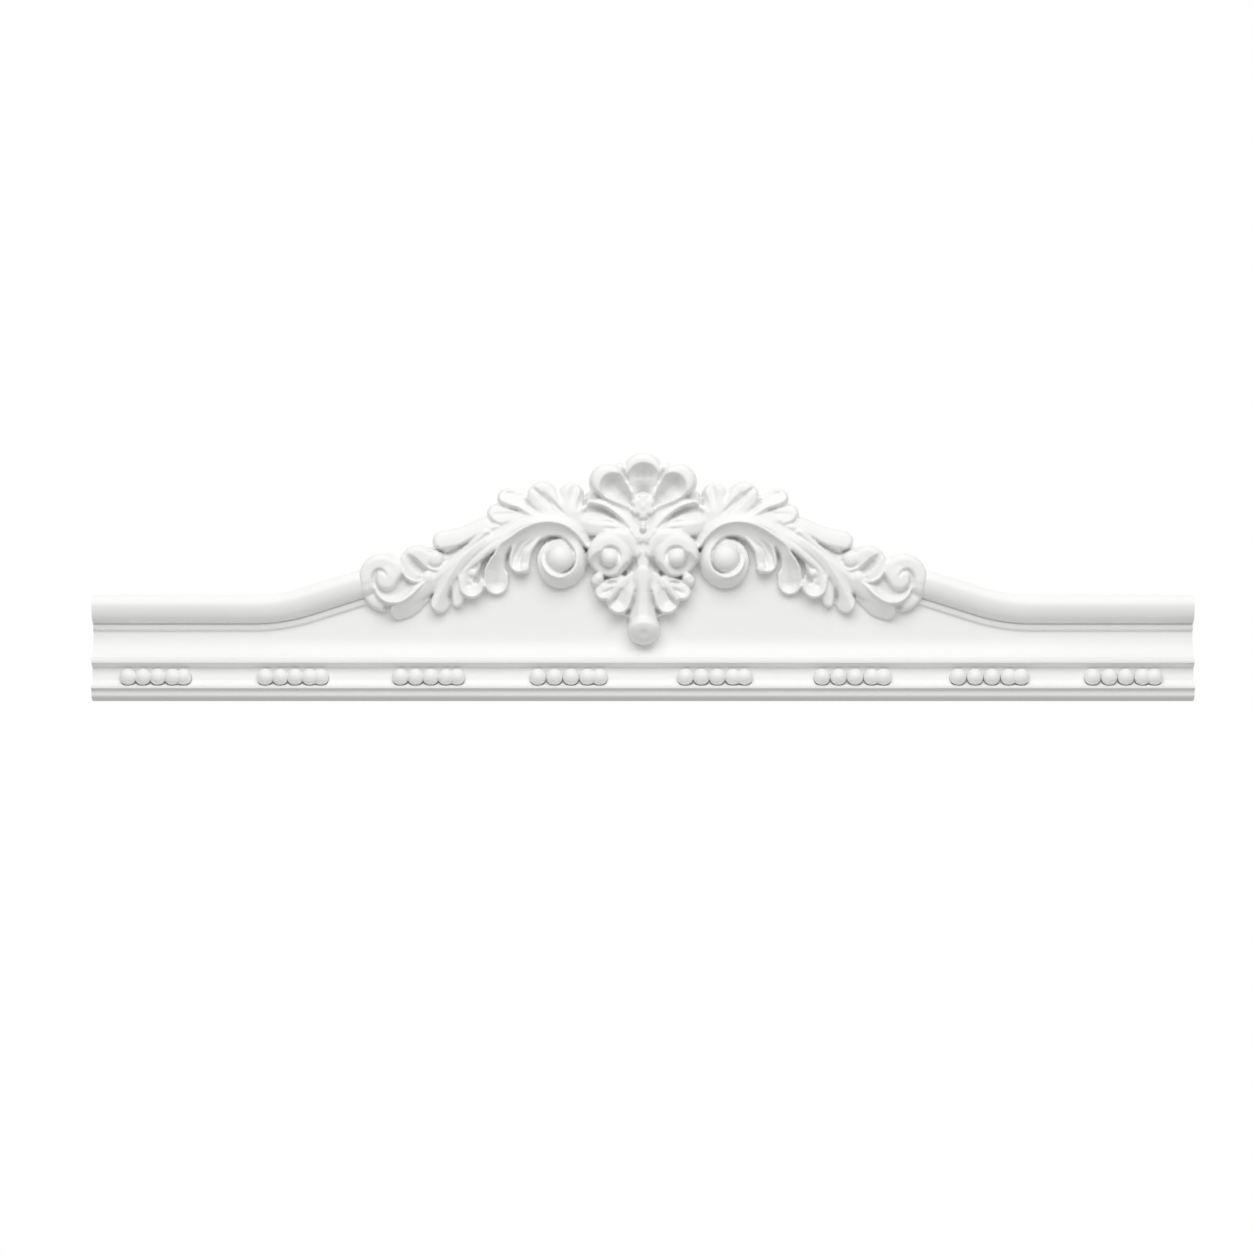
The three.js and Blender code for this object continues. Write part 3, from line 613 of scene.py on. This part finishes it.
def end_volute(relief, side):
    """The volute at the spray's end, with its lip, cup leaf, bud and nub."""
    # the drum, with a channel that winds round its hump
    leaf(relief, side, [(303.5, 144), (302, 139), (299, 133)], [27.5, 28.5, 30], [22, 20, 13], edge=7)
    leaf(relief, side, [(288, 154), (294, 147), (298, 142.5)], [12, 13, 14.5], [20, 22, 22],
         crown=1.5, edge=5)
    groove(relief, side, [(298, 146), (302, 151), (308, 151.5), (312, 145), (311, 136), (306, 130)],
           [1.5, 2.4, 3.2, 3.8, 3.6, 2.5], [2, 5, 6, 7, 6, 3], softness=1)

    # the broad bright lip
    leaf(relief, side,
         [(252, 143), (262, 136.5), (275, 127.5), (285, 122.5), (295, 121.5), (304, 125.5), (310.5, 134)],
         [4.5, 6.5, 8.5, 9.5, 9, 6.6, 3],
         [[15, 18, 21], [12, 18, 25], [9, 16, 29], [7, 15, 30], [7, 15, 30], [9, 15, 26], [14, 16, 19]],
         edge=1.2)

    # the pit under the lip
    dent(relief, side, (297, 107.5), 5, 9)

    # the cup leaf with its dark groove and bright rim
    leaf(relief, side, [(249, 150), (259, 156), (262, 159)], [11, 19, 22], [17, 21, 21], edge=6)
    groove(relief, side, [(251, 148), (259, 154), (267, 162), (274, 169)], [4, 6, 6, 4],
           [9, 11, 9, 2], softness=1)
    leaf(relief, side, arc((261, 158), 16.5, 5, -100, 8), [3, 5, 5.5, 5, 4],
         [[20, 18], [24, 17], [25, 15], [25, 15], [22, 16]], edge=1.2)
    boss(relief, side, (250, 143.5), 8, 21, 6)
    leaf(relief, side, arc((241, 165), 10.5, 10, -150, 8), [3, 4, 4, 3],
         [[19, 15], [22, 15], [22, 15], [18, 15]], edge=1.2)
    boss(relief, side, (241, 165), 9, 23, 5)

    # what lies in shade under the long upper leaf
    groove(relief, side, [(241, 178), (229, 171.5), (215, 177), (200, 187), (184, 198)],
           [2.5, 3.4, 2.8, 2.4, 1.5], [5, 9, 6, 4, 0], softness=1)
    groove(relief, side, [(181, 215), (176, 208), (166, 205)], [2.4, 3, 2], [4, 7, 2], softness=1)


def cartouche_side(relief, side):
    """Half of the shell, an eye and the lower palmette's leaves."""
    # the shell's narrow fold and upper side lobe
    leaf(relief, side, [(10, 238), (19, 256), (26, 269)], [4, 6.5, 8], [20, 26, 26], crown=2, edge=2)
    groove(relief, side, [(13, 241), (19, 255), (23.5, 266)], [1.5, 2.2, 2], [3, 7, 3], softness=1)
    leaf(relief, side, [(12, 224), (28, 242), (42, 256)], [8, 15.5, 19.5], [22, 27, 28], crown=2, edge=6)
    scoop(relief, side, [(13, 230), (24, 241), (34.5, 249.5)], [4, 11, 15.5], [13, 20, 18])
    groove(relief, side, [(16, 231), (28, 242), (40, 252)], [1.2, 2, 2], [0, -1.5, 0])

    # the rib and the recess between the side lobes
    leaf(relief, side, [(14, 212), (30, 228), (44, 238)], [6, 8, 7], [20, 20, 15], crown=2)
    leaf(relief, side, [(45, 236), (60, 238)], [8, 7], 9, edge=3)
    leaf(relief, side, [(58, 232), (72, 232)], [7, 6], 5, edge=2)

    # the lower side lobe: a bright upper rim, a dark hollow and a broad body
    leaf(relief, side, [(6, 189), (26, 204), (55, 211.5)], [8, 16, 21.5],
         [[27, 26, 26, 25], [25, 24, 27, 24], [22, 19, 22, 18]], edge=5)
    leaf(relief, side, [(6, 191), (20, 208), (38, 225), (50, 231), (62, 230)], [4, 4.5, 5, 5, 4.6],
         [[24, 29], [23, 30], [21, 29], [19, 27], [17, 23]], edge=1.2)
    groove(relief, side, [(16, 200), (30, 212), (45, 221), (60, 225)], [2, 3.5, 5, 6],
           [3, 10, 13, 11], softness=0.9)
    groove(relief, side, [(34, 211), (48, 215), (66, 219)], [1.5, 4, 5], [0, 5, 6], softness=1)
    groove(relief, side, [(24, 201), (35, 200.5), (50, 202)], [1.2, 2, 1.8], [0, 3.4, 0])
    groove(relief, side, [(22, 204), (38, 208), (60, 211)], [1.2, 2.2, 2.4], [0, 3.4, 2], softness=1)
    leaf(relief, side, [(71, 205), (66, 192)], [7, 6], [14, 12], edge=3)

    # the eye: a round cushion under a hood, hollowed round its ball
    leaf(relief, side, [(39.5, 171), (38, 170)], [26, 26], 31, edge=9)
    leaf(relief, side, [(40, 190), (22, 187), (9, 173)], [9, 11, 8],
         [[27, 29, 28], [27, 30, 30], [22, 27, 27]], edge=4)
    groove(relief, side, [(9, 161), (16, 156), (24, 149)], [4, 7, 5], [3, 8, 3])
    dent(relief, side, (46, 157.5), 17.5, 14)
    groove(relief, side, arc(EYE, 11.2, 20, 215, 12), [1, 2.4, 2.8, 2.4, 1], [0, 5, 6, 5, 0], softness=1)
    boss(relief, side, EYE, 10.6, 35, 11, soft=1.5)
    groove(relief, side, [(63.5, 160), (64, 153), (58, 147)], [2.5, 4.5, 3], [3, 13, 6], softness=1)

    # the leaves of the lower palmette
    leaf(relief, side, [(52, 143), (54.5, 140)], [7.4, 7.4], [21, 20], crown=2, edge=5)
    leaf(relief, side, [(26, 142), (37, 134), (46, 127.5)], [6, 9.5, 11],
         [[22, 23, 22], [17, 22, 22], [17, 19, 22]], edge=2.4)
    groove(relief, side, [(30, 134.5), (38, 129), (46, 125.5)], [1.5, 2.4, 2.4], [0, 4, 3], softness=1)
    groove(relief, side, [(32, 138), (38, 137.5), (45, 137)], [2, 3, 2], [4, 7, 4])
    leaf(relief, side, [(13, 143), (21, 130), (28, 115.5)], [8, 12.5, 14.5], [24, 26, 26],
         crown=[0, -2, -6], edge=1.6)
    groove(relief, side, [(17, 138), (22, 127), (27, 116)], [2, 4, 5], [1, 3, 2])
    groove(relief, side, [(25, 130), (32, 119.5), (42, 110)], [2, 2.6, 3.6], [3, 8, 11], softness=1)


def cartouche_bed(relief):
    """The low ground that the cartouche stands on."""
    for side in (-1, 1):
        leaf(relief, side, [(4, 205), (8, 180), (10, 150), (12, 128), (15, 112)],
             [16, 16, 13, 8, 7], [18, 18, 18, 18, 17], edge=4)
        leaf(relief, side,
             [(0, 262), (28, 250), (40, 235), (44, 212), (40, 180), (34, 150), (24, 120), (4, 98)],
             [20, 20, 22, 22, 20, 20, 18, 8], 10, edge=4)


def cartouche_middle(relief):
    """The crest, the flower and drop, and the lower palmette's stem and knob."""
    # the crest lobe, whose hollow comes forward to its rim
    leaf(relief, 1, [(0, 224), (0, 244), (0, 257), (0, 266)], [8, 14.5, 20.5, 22.5], [24, 28, 31, 30],
         crown=1, edge=6)
    scoop(relief, 1, [(0.5, 242), (0.5, 251), (0.5, 257)], [11, 16.5, 19.5], [26, 23, 17])
    for lean in (-9, 1, 11):
        groove(relief, 1, [(0.4 * lean, 250), (0.8 * lean, 263), (lean, 273)], [1.4, 2, 1.6], [0, 2.2, 0])

    # the plain field between the lobes, the flower and the drop under it
    leaf(relief, 1, [(0, 214), (0, 195), (0, 175), (0, 152)], [15, 12, 9, 8],
         [[21, 22, 21], [21, 21, 21], [22, 23, 22], [21, 23, 21]], edge=3)
    leaf(relief, 1, [(0, 228), (0, 224)], [14, 14], 25, crown=1, edge=3)
    for petal in arc((0, 226), 8.8, 90, 390, 6):
        boss(relief, 1, petal, 5.6, 27.5, 2, soft=3)
    for gap in arc((0, 226), 12.6, 60, 360, 6):
        dent(relief, 1, gap, 2.6, 4)
    boss(relief, 1, (0, 226), 4.4, 28.5, 2.4, soft=3)
    leaf(relief, 1, [(0, 206), (0, 201)], [3.6, 4.8], 27, crown=2, edge=3)

    # the lower palmette's stem and its knob
    leaf(relief, 1, [(0, 143), (0, 128), (0, 110), (0, 98)], [14, 10.5, 13.5, 17.5],
         [[24, 29, 29, 24], [20, 28, 28, 20], [16, 27, 27, 16], [14, 28, 28, 14]], edge=3)
    boss(relief, 1, (1, 84), 18.8, 37, 24, soft=4)
    dent(relief, 1, (1, 70), 22, 8)
    dent(relief, 1, (1, 78.5), 6, 1.6)

    # the creases beside the stem and beside the crest
    for side in (-1, 1):
        groove(relief, side, [(8, 136), (10, 118), (19, 103)], [1.5, 2, 2.4], [0, 2, 4], softness=1)
        groove(relief, side, [(10, 234), (15, 248), (20.5, 261), (23.5, 269)], [1.5, 2, 2.4, 2],
               [3, 7, 7, 2], softness=1)


def carving():
    relief = Relief(CARVING["reach"], CARVING["low"], CARVING["high"])
    cartouche_bed(relief)
    for side in (-1, 1):
        spray(relief, side)
        cartouche_side(relief, side)
    cartouche_middle(relief)
    relief.soften(1)
    return relief


def relief_object(relief):
    """The relief as a closed slab that runs on behind the back plane."""
    depth = relief.depth
    cell = np.maximum.reduce([depth[:-1, :-1], depth[1:, :-1], depth[:-1, 1:], depth[1:, 1:]])
    kept = cell > OUTSIDE + 0.5
    across, up = depth.shape
    number = np.arange(across * up).reshape(across, up)
    a, b, c, d = number[:-1, :-1], number[1:, :-1], number[1:, 1:], number[:-1, 1:]
    front = np.stack([a, b, c, d], axis=-1)[kept]
    behind = front[:, ::-1] + across * up
    walls = []
    padded = np.pad(kept, 1)
    for here, there, shift in ((a, b, (0, -1)), (b, c, (1, 0)), (c, d, (0, 1)), (d, a, (-1, 0))):
        beyond = padded[1 + shift[0]:across + shift[0], 1 + shift[1]:up + shift[1]]
        rim = kept & ~beyond
        start, end = here[rim], there[rim]
        walls.append(np.stack([end, start, start + across * up, end + across * up], axis=-1))
    faces = np.vstack([front, behind, *walls])
    x, z = np.meshgrid(relief.xs, relief.zs, indexing="ij")
    back = np.full(depth.shape, OUTSIDE - 2)
    points = np.concatenate([
        np.stack([x, depth, z], axis=-1).reshape(-1, 3),
        np.stack([x, back, z], axis=-1).reshape(-1, 3),
    ])
    used, faces = np.unique(faces, return_inverse=True)
    points = points[used]
    faces = faces.reshape(-1, 4)
    return mesh_object("relief", points.tolist(), faces.tolist())


# Joining


def combine(target, operand, operation):
    """The target joined with, or cut by, an operand, which is used up."""
    change = target.modifiers.new("join", "BOOLEAN")
    change.operation = operation
    change.solver = "MANIFOLD"
    change.object = operand
    bpy.context.view_layer.update()
    whole = target.evaluated_get(bpy.context.evaluated_depsgraph_get())
    mesh = bpy.data.meshes.new_from_object(whole)
    target.modifiers.clear()
    target.data = mesh
    bpy.data.objects.remove(operand)


def envelope():
    """The room in front of the wall between the two ends."""
    low, high = CUT["low"], CUT["high"]
    corners = [(0, low), (CUT["depth"], low), (CUT["depth"], high), (0, high)]
    stations = np.linspace(-HALF_LENGTH, HALF_LENGTH, STRIPS)
    return loft("envelope", [[(x, depth, z) for depth, z in corners] for x in stations])


def mark_arrises(mesh):
    """Sharp edges on the mouldings and where the carving meets them, none in the carving."""
    shape = bmesh.new()
    shape.from_mesh(mesh)
    many_sided = [face for face in shape.faces if len(face.verts) > 4]
    bmesh.ops.triangulate(shape, faces=many_sided)
    bmesh.ops.dissolve_degenerate(shape, dist=SPECK * MM, edges=shape.edges)
    for edge in shape.edges:
        kinds = {face.material_index for face in edge.link_faces}
        edge.smooth = kinds == {CARVED} or (
            kinds == {0} and len(edge.link_faces) == 2 and edge.calc_face_angle() < ARRIS_ANGLE
        )
    for face in shape.faces:
        face.smooth = True
        face.material_index = 0
    shape.to_mesh(mesh)
    shape.free()


def mark_painted_shade(mesh, relief):
    """How far each point lies in a hollow of the carving, from 0 to 1, kept on the mesh as the share of
    painted shade that darkens the colour where shade falls.
    """
    level = np.maximum(relief.depth, FIELD)
    around, lowest = level.copy(), level.copy()
    for axis in (0, 1) * PAINTED_SHADE_BLUR:
        part = np.moveaxis(around, axis, 0)
        part[1:-1] = (part[:-2] + 2 * part[1:-1] + part[2:]) / 4
    for axis in (0, 1) * PAINTED_SHADE_RIM:
        part = np.moveaxis(lowest, axis, 0)
        part[1:-1] = np.minimum.reduce([part[:-2], part[1:-1], part[2:]])
    inside = np.clip((lowest - FIELD) / 2, 0, 1)
    hollow = np.clip((around - level) / PAINTED_SHADE_FULL, 0, 1) * inside
    places = np.empty(len(mesh.vertices) * 3)
    mesh.vertices.foreach_get("co", places)
    x, _, z = places.reshape(-1, 3).T / MM
    column = np.clip((x - relief.xs[0]) / RELIEF_STEP, 0, len(relief.xs) - 1).astype(int)
    row = np.clip((z - UNDERSIDE - relief.zs[0]) / RELIEF_STEP, 0, len(relief.zs) - 1).astype(int)
    # painted shade: this share darkens the piece's colour in the hollows, kept as the mesh attribute named
    # recess
    kept = mesh.attributes.new("recess", "FLOAT", "POINT")
    kept.data.foreach_set("value", hollow[column, row].astype(np.float32))


def pediment():
    """The whole piece. The carving's faces keep their own number until the arrises are marked."""
    for name in ("plain", "carved"):
        bpy.data.materials.new(name)
    piece = lower_moulding()
    relief = carving()
    carved = relief_object(relief)
    seat_height = BEAD_HEIGHT - BEAD_SEAT["drop"]
    seats = mesh_object("bead seats", *balls(BEAD_SEAT["radius"], seat_height, *SEAT_MESH))
    plain = [mesh_object("beads", *balls(BEAD_RADIUS, BEAD_HEIGHT, *BEAD_MESH)), frieze(), rail(1), rail(-1)]
    for thing in (piece, carved, seats, *plain):
        thing.data.materials.append(bpy.data.materials["plain"])
        thing.data.materials.append(bpy.data.materials["carved"])
    carved.data.polygons.foreach_set("material_index", [CARVED] * len(carved.data.polygons))
    combine(piece, seats, "DIFFERENCE")
    for operand in (*plain, carved):
        combine(piece, operand, "UNION")
    combine(piece, envelope(), "INTERSECT")
    mark_arrises(piece.data)
    mark_painted_shade(piece.data, relief)
    piece.name = "moulded_pediment"
    return piece


piece = pediment()
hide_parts(NODE)
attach(piece, "root")


# Finish


def new_group(name, inputs, outputs):
    """A shader group with named sockets, and its input and output nodes."""
    group = bpy.data.node_groups.new(name, "ShaderNodeTree")
    for label, kind, value in inputs:
        group.interface.new_socket(label, in_out="INPUT", socket_type=kind).default_value = value
    for label, kind in outputs:
        group.interface.new_socket(label, in_out="OUTPUT", socket_type=kind)
    return group, group.nodes.new("NodeGroupInput"), group.nodes.new("NodeGroupOutput")


def sprayed_primer():
    """Sprayed primer: a fine grain on a faint ripple, and a slow drift of tone."""
    group, given, result = new_group(
        "sprayed primer",
        [
            ("Grain", "NodeSocketFloat", 1100), ("Ripple", "NodeSocketFloat", 160),
            ("Drift", "NodeSocketFloat", 9),
        ],
        [("Height", "NodeSocketFloat"), ("Tone", "NodeSocketFloat")],
    )
    nodes, link = group.nodes, group.links.new
    where = nodes.new("ShaderNodeTexCoord")
    fields = {}
    for label, detail in (("Grain", 2), ("Ripple", 1), ("Drift", 3)):
        noise = nodes.new("ShaderNodeTexNoise")
        noise.inputs["Detail"].default_value = detail
        link(where.outputs["Object"], noise.inputs["Vector"])
        link(given.outputs[label], noise.inputs["Scale"])
        fields[label] = noise.outputs["Fac"]
    height = nodes.new("ShaderNodeMath")
    height.operation = "MULTIPLY_ADD"
    height.inputs[1].default_value = 0.3
    link(fields["Grain"], height.inputs[0])
    link(fields["Ripple"], height.inputs[2])
    link(height.outputs["Value"], result.inputs["Height"])
    link(fields["Drift"], result.inputs["Tone"])
    return group


def tone_between():
    """A colour between two by a tone, then towards a third colour, a painted shade, by the share of shade in
    a recess.
    """
    group, given, result = new_group(
        "tone and painted shade",
        [
            ("Tone", "NodeSocketFloat", 0.5), ("Painted_shade_share", "NodeSocketFloat", 0),
            ("Light", "NodeSocketColor", (1, 1, 1, 1)), ("Dull", "NodeSocketColor", (1, 1, 1, 1)),
            ("Deep", "NodeSocketColor", (1, 1, 1, 1)),
        ],
        [("Color", "NodeSocketColor")],
    )
    link = group.links.new
    colour = given.outputs["Light"]
    # the first mix is the primer's own random tone; the second paints shade, darkening towards the shade
    # colour in recesses
    for share, other in (("Tone", "Dull"), ("Painted_shade_share", "Deep")):
        mix = group.nodes.new("ShaderNodeMix")
        mix.data_type = "RGBA"
        link(given.outputs[share], mix.inputs["Factor"])
        link(colour, mix.inputs[6])
        link(given.outputs[other], mix.inputs[7])
        colour = mix.outputs[2]
    link(colour, result.inputs["Color"])
    return group


def placed_group(nodes, group, **values):
    """A group's node in a material, with this material's own values."""
    node = nodes.new("ShaderNodeGroup")
    node.node_tree = group
    for label, value in values.items():
        node.inputs[label].default_value = value
    return node


def range_node(nodes, low, high):
    node = nodes.new("ShaderNodeMapRange")
    node.inputs["To Min"].default_value = low
    node.inputs["To Max"].default_value = high
    return node


def primed_white(primer, tones):
    material = bpy.data.materials.new("primed white")
    material.use_nodes = True
    nodes, link = material.node_tree.nodes, material.node_tree.links.new
    shader = nodes["Principled BSDF"]
    spray_coat = placed_group(nodes, primer)
    # painted shade: the recess share darkens the primer towards a grey in the carving's hollows, where shade
    # falls
    recess = nodes.new("ShaderNodeAttribute")
    recess.attribute_name = "recess"
    # Light and Dull are the primer's own random tones; the darkest colour is the painted shade
    tone = placed_group(
        nodes, tones, Light=(0.88, 0.88, 0.87, 1), Dull=(0.85, 0.85, 0.84, 1), Deep=(0.62, 0.62, 0.615, 1),
    )
    roughness = range_node(nodes, 0.54, 0.66)
    bump = nodes.new("ShaderNodeBump")
    bump.inputs["Strength"].default_value = 0.35
    bump.inputs["Distance"].default_value = 0.25 * MM
    link(spray_coat.outputs["Tone"], tone.inputs["Tone"])
    link(recess.outputs["Fac"], tone.inputs["Painted_shade_share"])
    link(tone.outputs["Color"], shader.inputs["Base Color"])
    link(spray_coat.outputs["Tone"], roughness.inputs["Value"])
    link(roughness.outputs["Result"], shader.inputs["Roughness"])
    link(spray_coat.outputs["Height"], bump.inputs["Height"])
    link(bump.outputs["Normal"], shader.inputs["Normal"])
    return material


def pale_floor(primer, tones):
    material = bpy.data.materials.new("pale floor")
    material.use_nodes = True
    nodes, link = material.node_tree.nodes, material.node_tree.links.new
    shader = nodes["Principled BSDF"]
    shader.inputs["Roughness"].default_value = 0.8
    paint = placed_group(nodes, primer, Ripple=20, Drift=2)
    tone = placed_group(nodes, tones, Light=(0.56, 0.56, 0.56, 1), Dull=(0.52, 0.52, 0.52, 1))
    link(paint.outputs["Tone"], tone.inputs["Tone"])
    link(tone.outputs["Color"], shader.inputs["Base Color"])
    return material


primer, tones = sprayed_primer(), tone_between()
piece.data.materials.clear()
piece.data.materials.append(primed_white(primer, tones))

# Stage, light and camera, in metres

FLOOR_DROP = 2.1
FLOOR_REACH = 4
floor_mesh = bpy.data.meshes.new("floor")
floor_corners = [(FLOOR_REACH * x, FLOOR_REACH * y, 0) for x, y in ((-1, -1), (1, -1), (1, 1), (-1, 1))]
floor_mesh.from_pydata(floor_corners, [], [(0, 1, 2, 3)])
floor = bpy.data.objects.new("floor", floor_mesh)
floor.location.z = UNDERSIDE * MM - FLOOR_DROP
bpy.context.scene.collection.objects.link(floor)
floor_mesh.materials.append(pale_floor(primer, tones))

ROOM_TONE = 0.46
WALL_TONE = 1.0
world = bpy.data.worlds.new("white room")
world.use_nodes = True
sky = world.node_tree.nodes
link = world.node_tree.links.new
where = sky.new("ShaderNodeTexCoord")
split = sky.new("ShaderNodeSeparateXYZ")
lift = sky.new("ShaderNodeMapRange")
lift.inputs["From Min"].default_value = -0.2
lift.inputs["From Max"].default_value = 0.5
lift.inputs["To Min"].default_value = ROOM_TONE
lift.inputs["To Max"].default_value = WALL_TONE
link(where.outputs["Generated"], split.inputs["Vector"])
link(split.outputs["Y"], lift.inputs["Value"])
link(lift.outputs["Result"], sky["Background"].inputs["Strength"])
sky["Background"].inputs["Color"].default_value = (1, 1, 1, 1)
bpy.context.scene.world = world
bpy.context.scene.view_settings.view_transform = "Standard"

KEY_AWAY = 2.6
KEY_HEIGHT = 2.1
KEY_ENERGY = 86
key_data = bpy.data.lights.new("overhead softbox", "AREA")
key_data.shape = "RECTANGLE"
key_data.size, key_data.size_y = 3.6, 2.0
key_data.energy = KEY_ENERGY
key = bpy.data.objects.new("overhead softbox", key_data)
key.location = (0, -KEY_AWAY, KEY_HEIGHT)
key.rotation_euler = (math.atan2(KEY_AWAY, KEY_HEIGHT), 0, 0)
bpy.context.scene.collection.objects.link(key)

# The photo's own frame: the size of its pixel on the piece, its width, and its middle

PIXEL = 1.16 * MM
FRAME_WIDTH = 1254 * PIXEL
FRAME_MIDDLE = (-18.6, 86.4)
CAMERA_AWAY = 5.0
camera_data = bpy.data.cameras.new("camera")
camera_data.lens = camera_data.sensor_width * CAMERA_AWAY / FRAME_WIDTH
camera = bpy.data.objects.new("camera", camera_data)
camera.location = (
    FRAME_MIDDLE[0] * MM,
    -CAMERA_AWAY - RAIL_DEPTH * MM,
    (UNDERSIDE + FRAME_MIDDLE[1]) * MM,
)
camera.rotation_euler = (math.pi / 2, 0, 0)
bpy.context.scene.collection.objects.link(camera)
bpy.context.scene.camera = camera
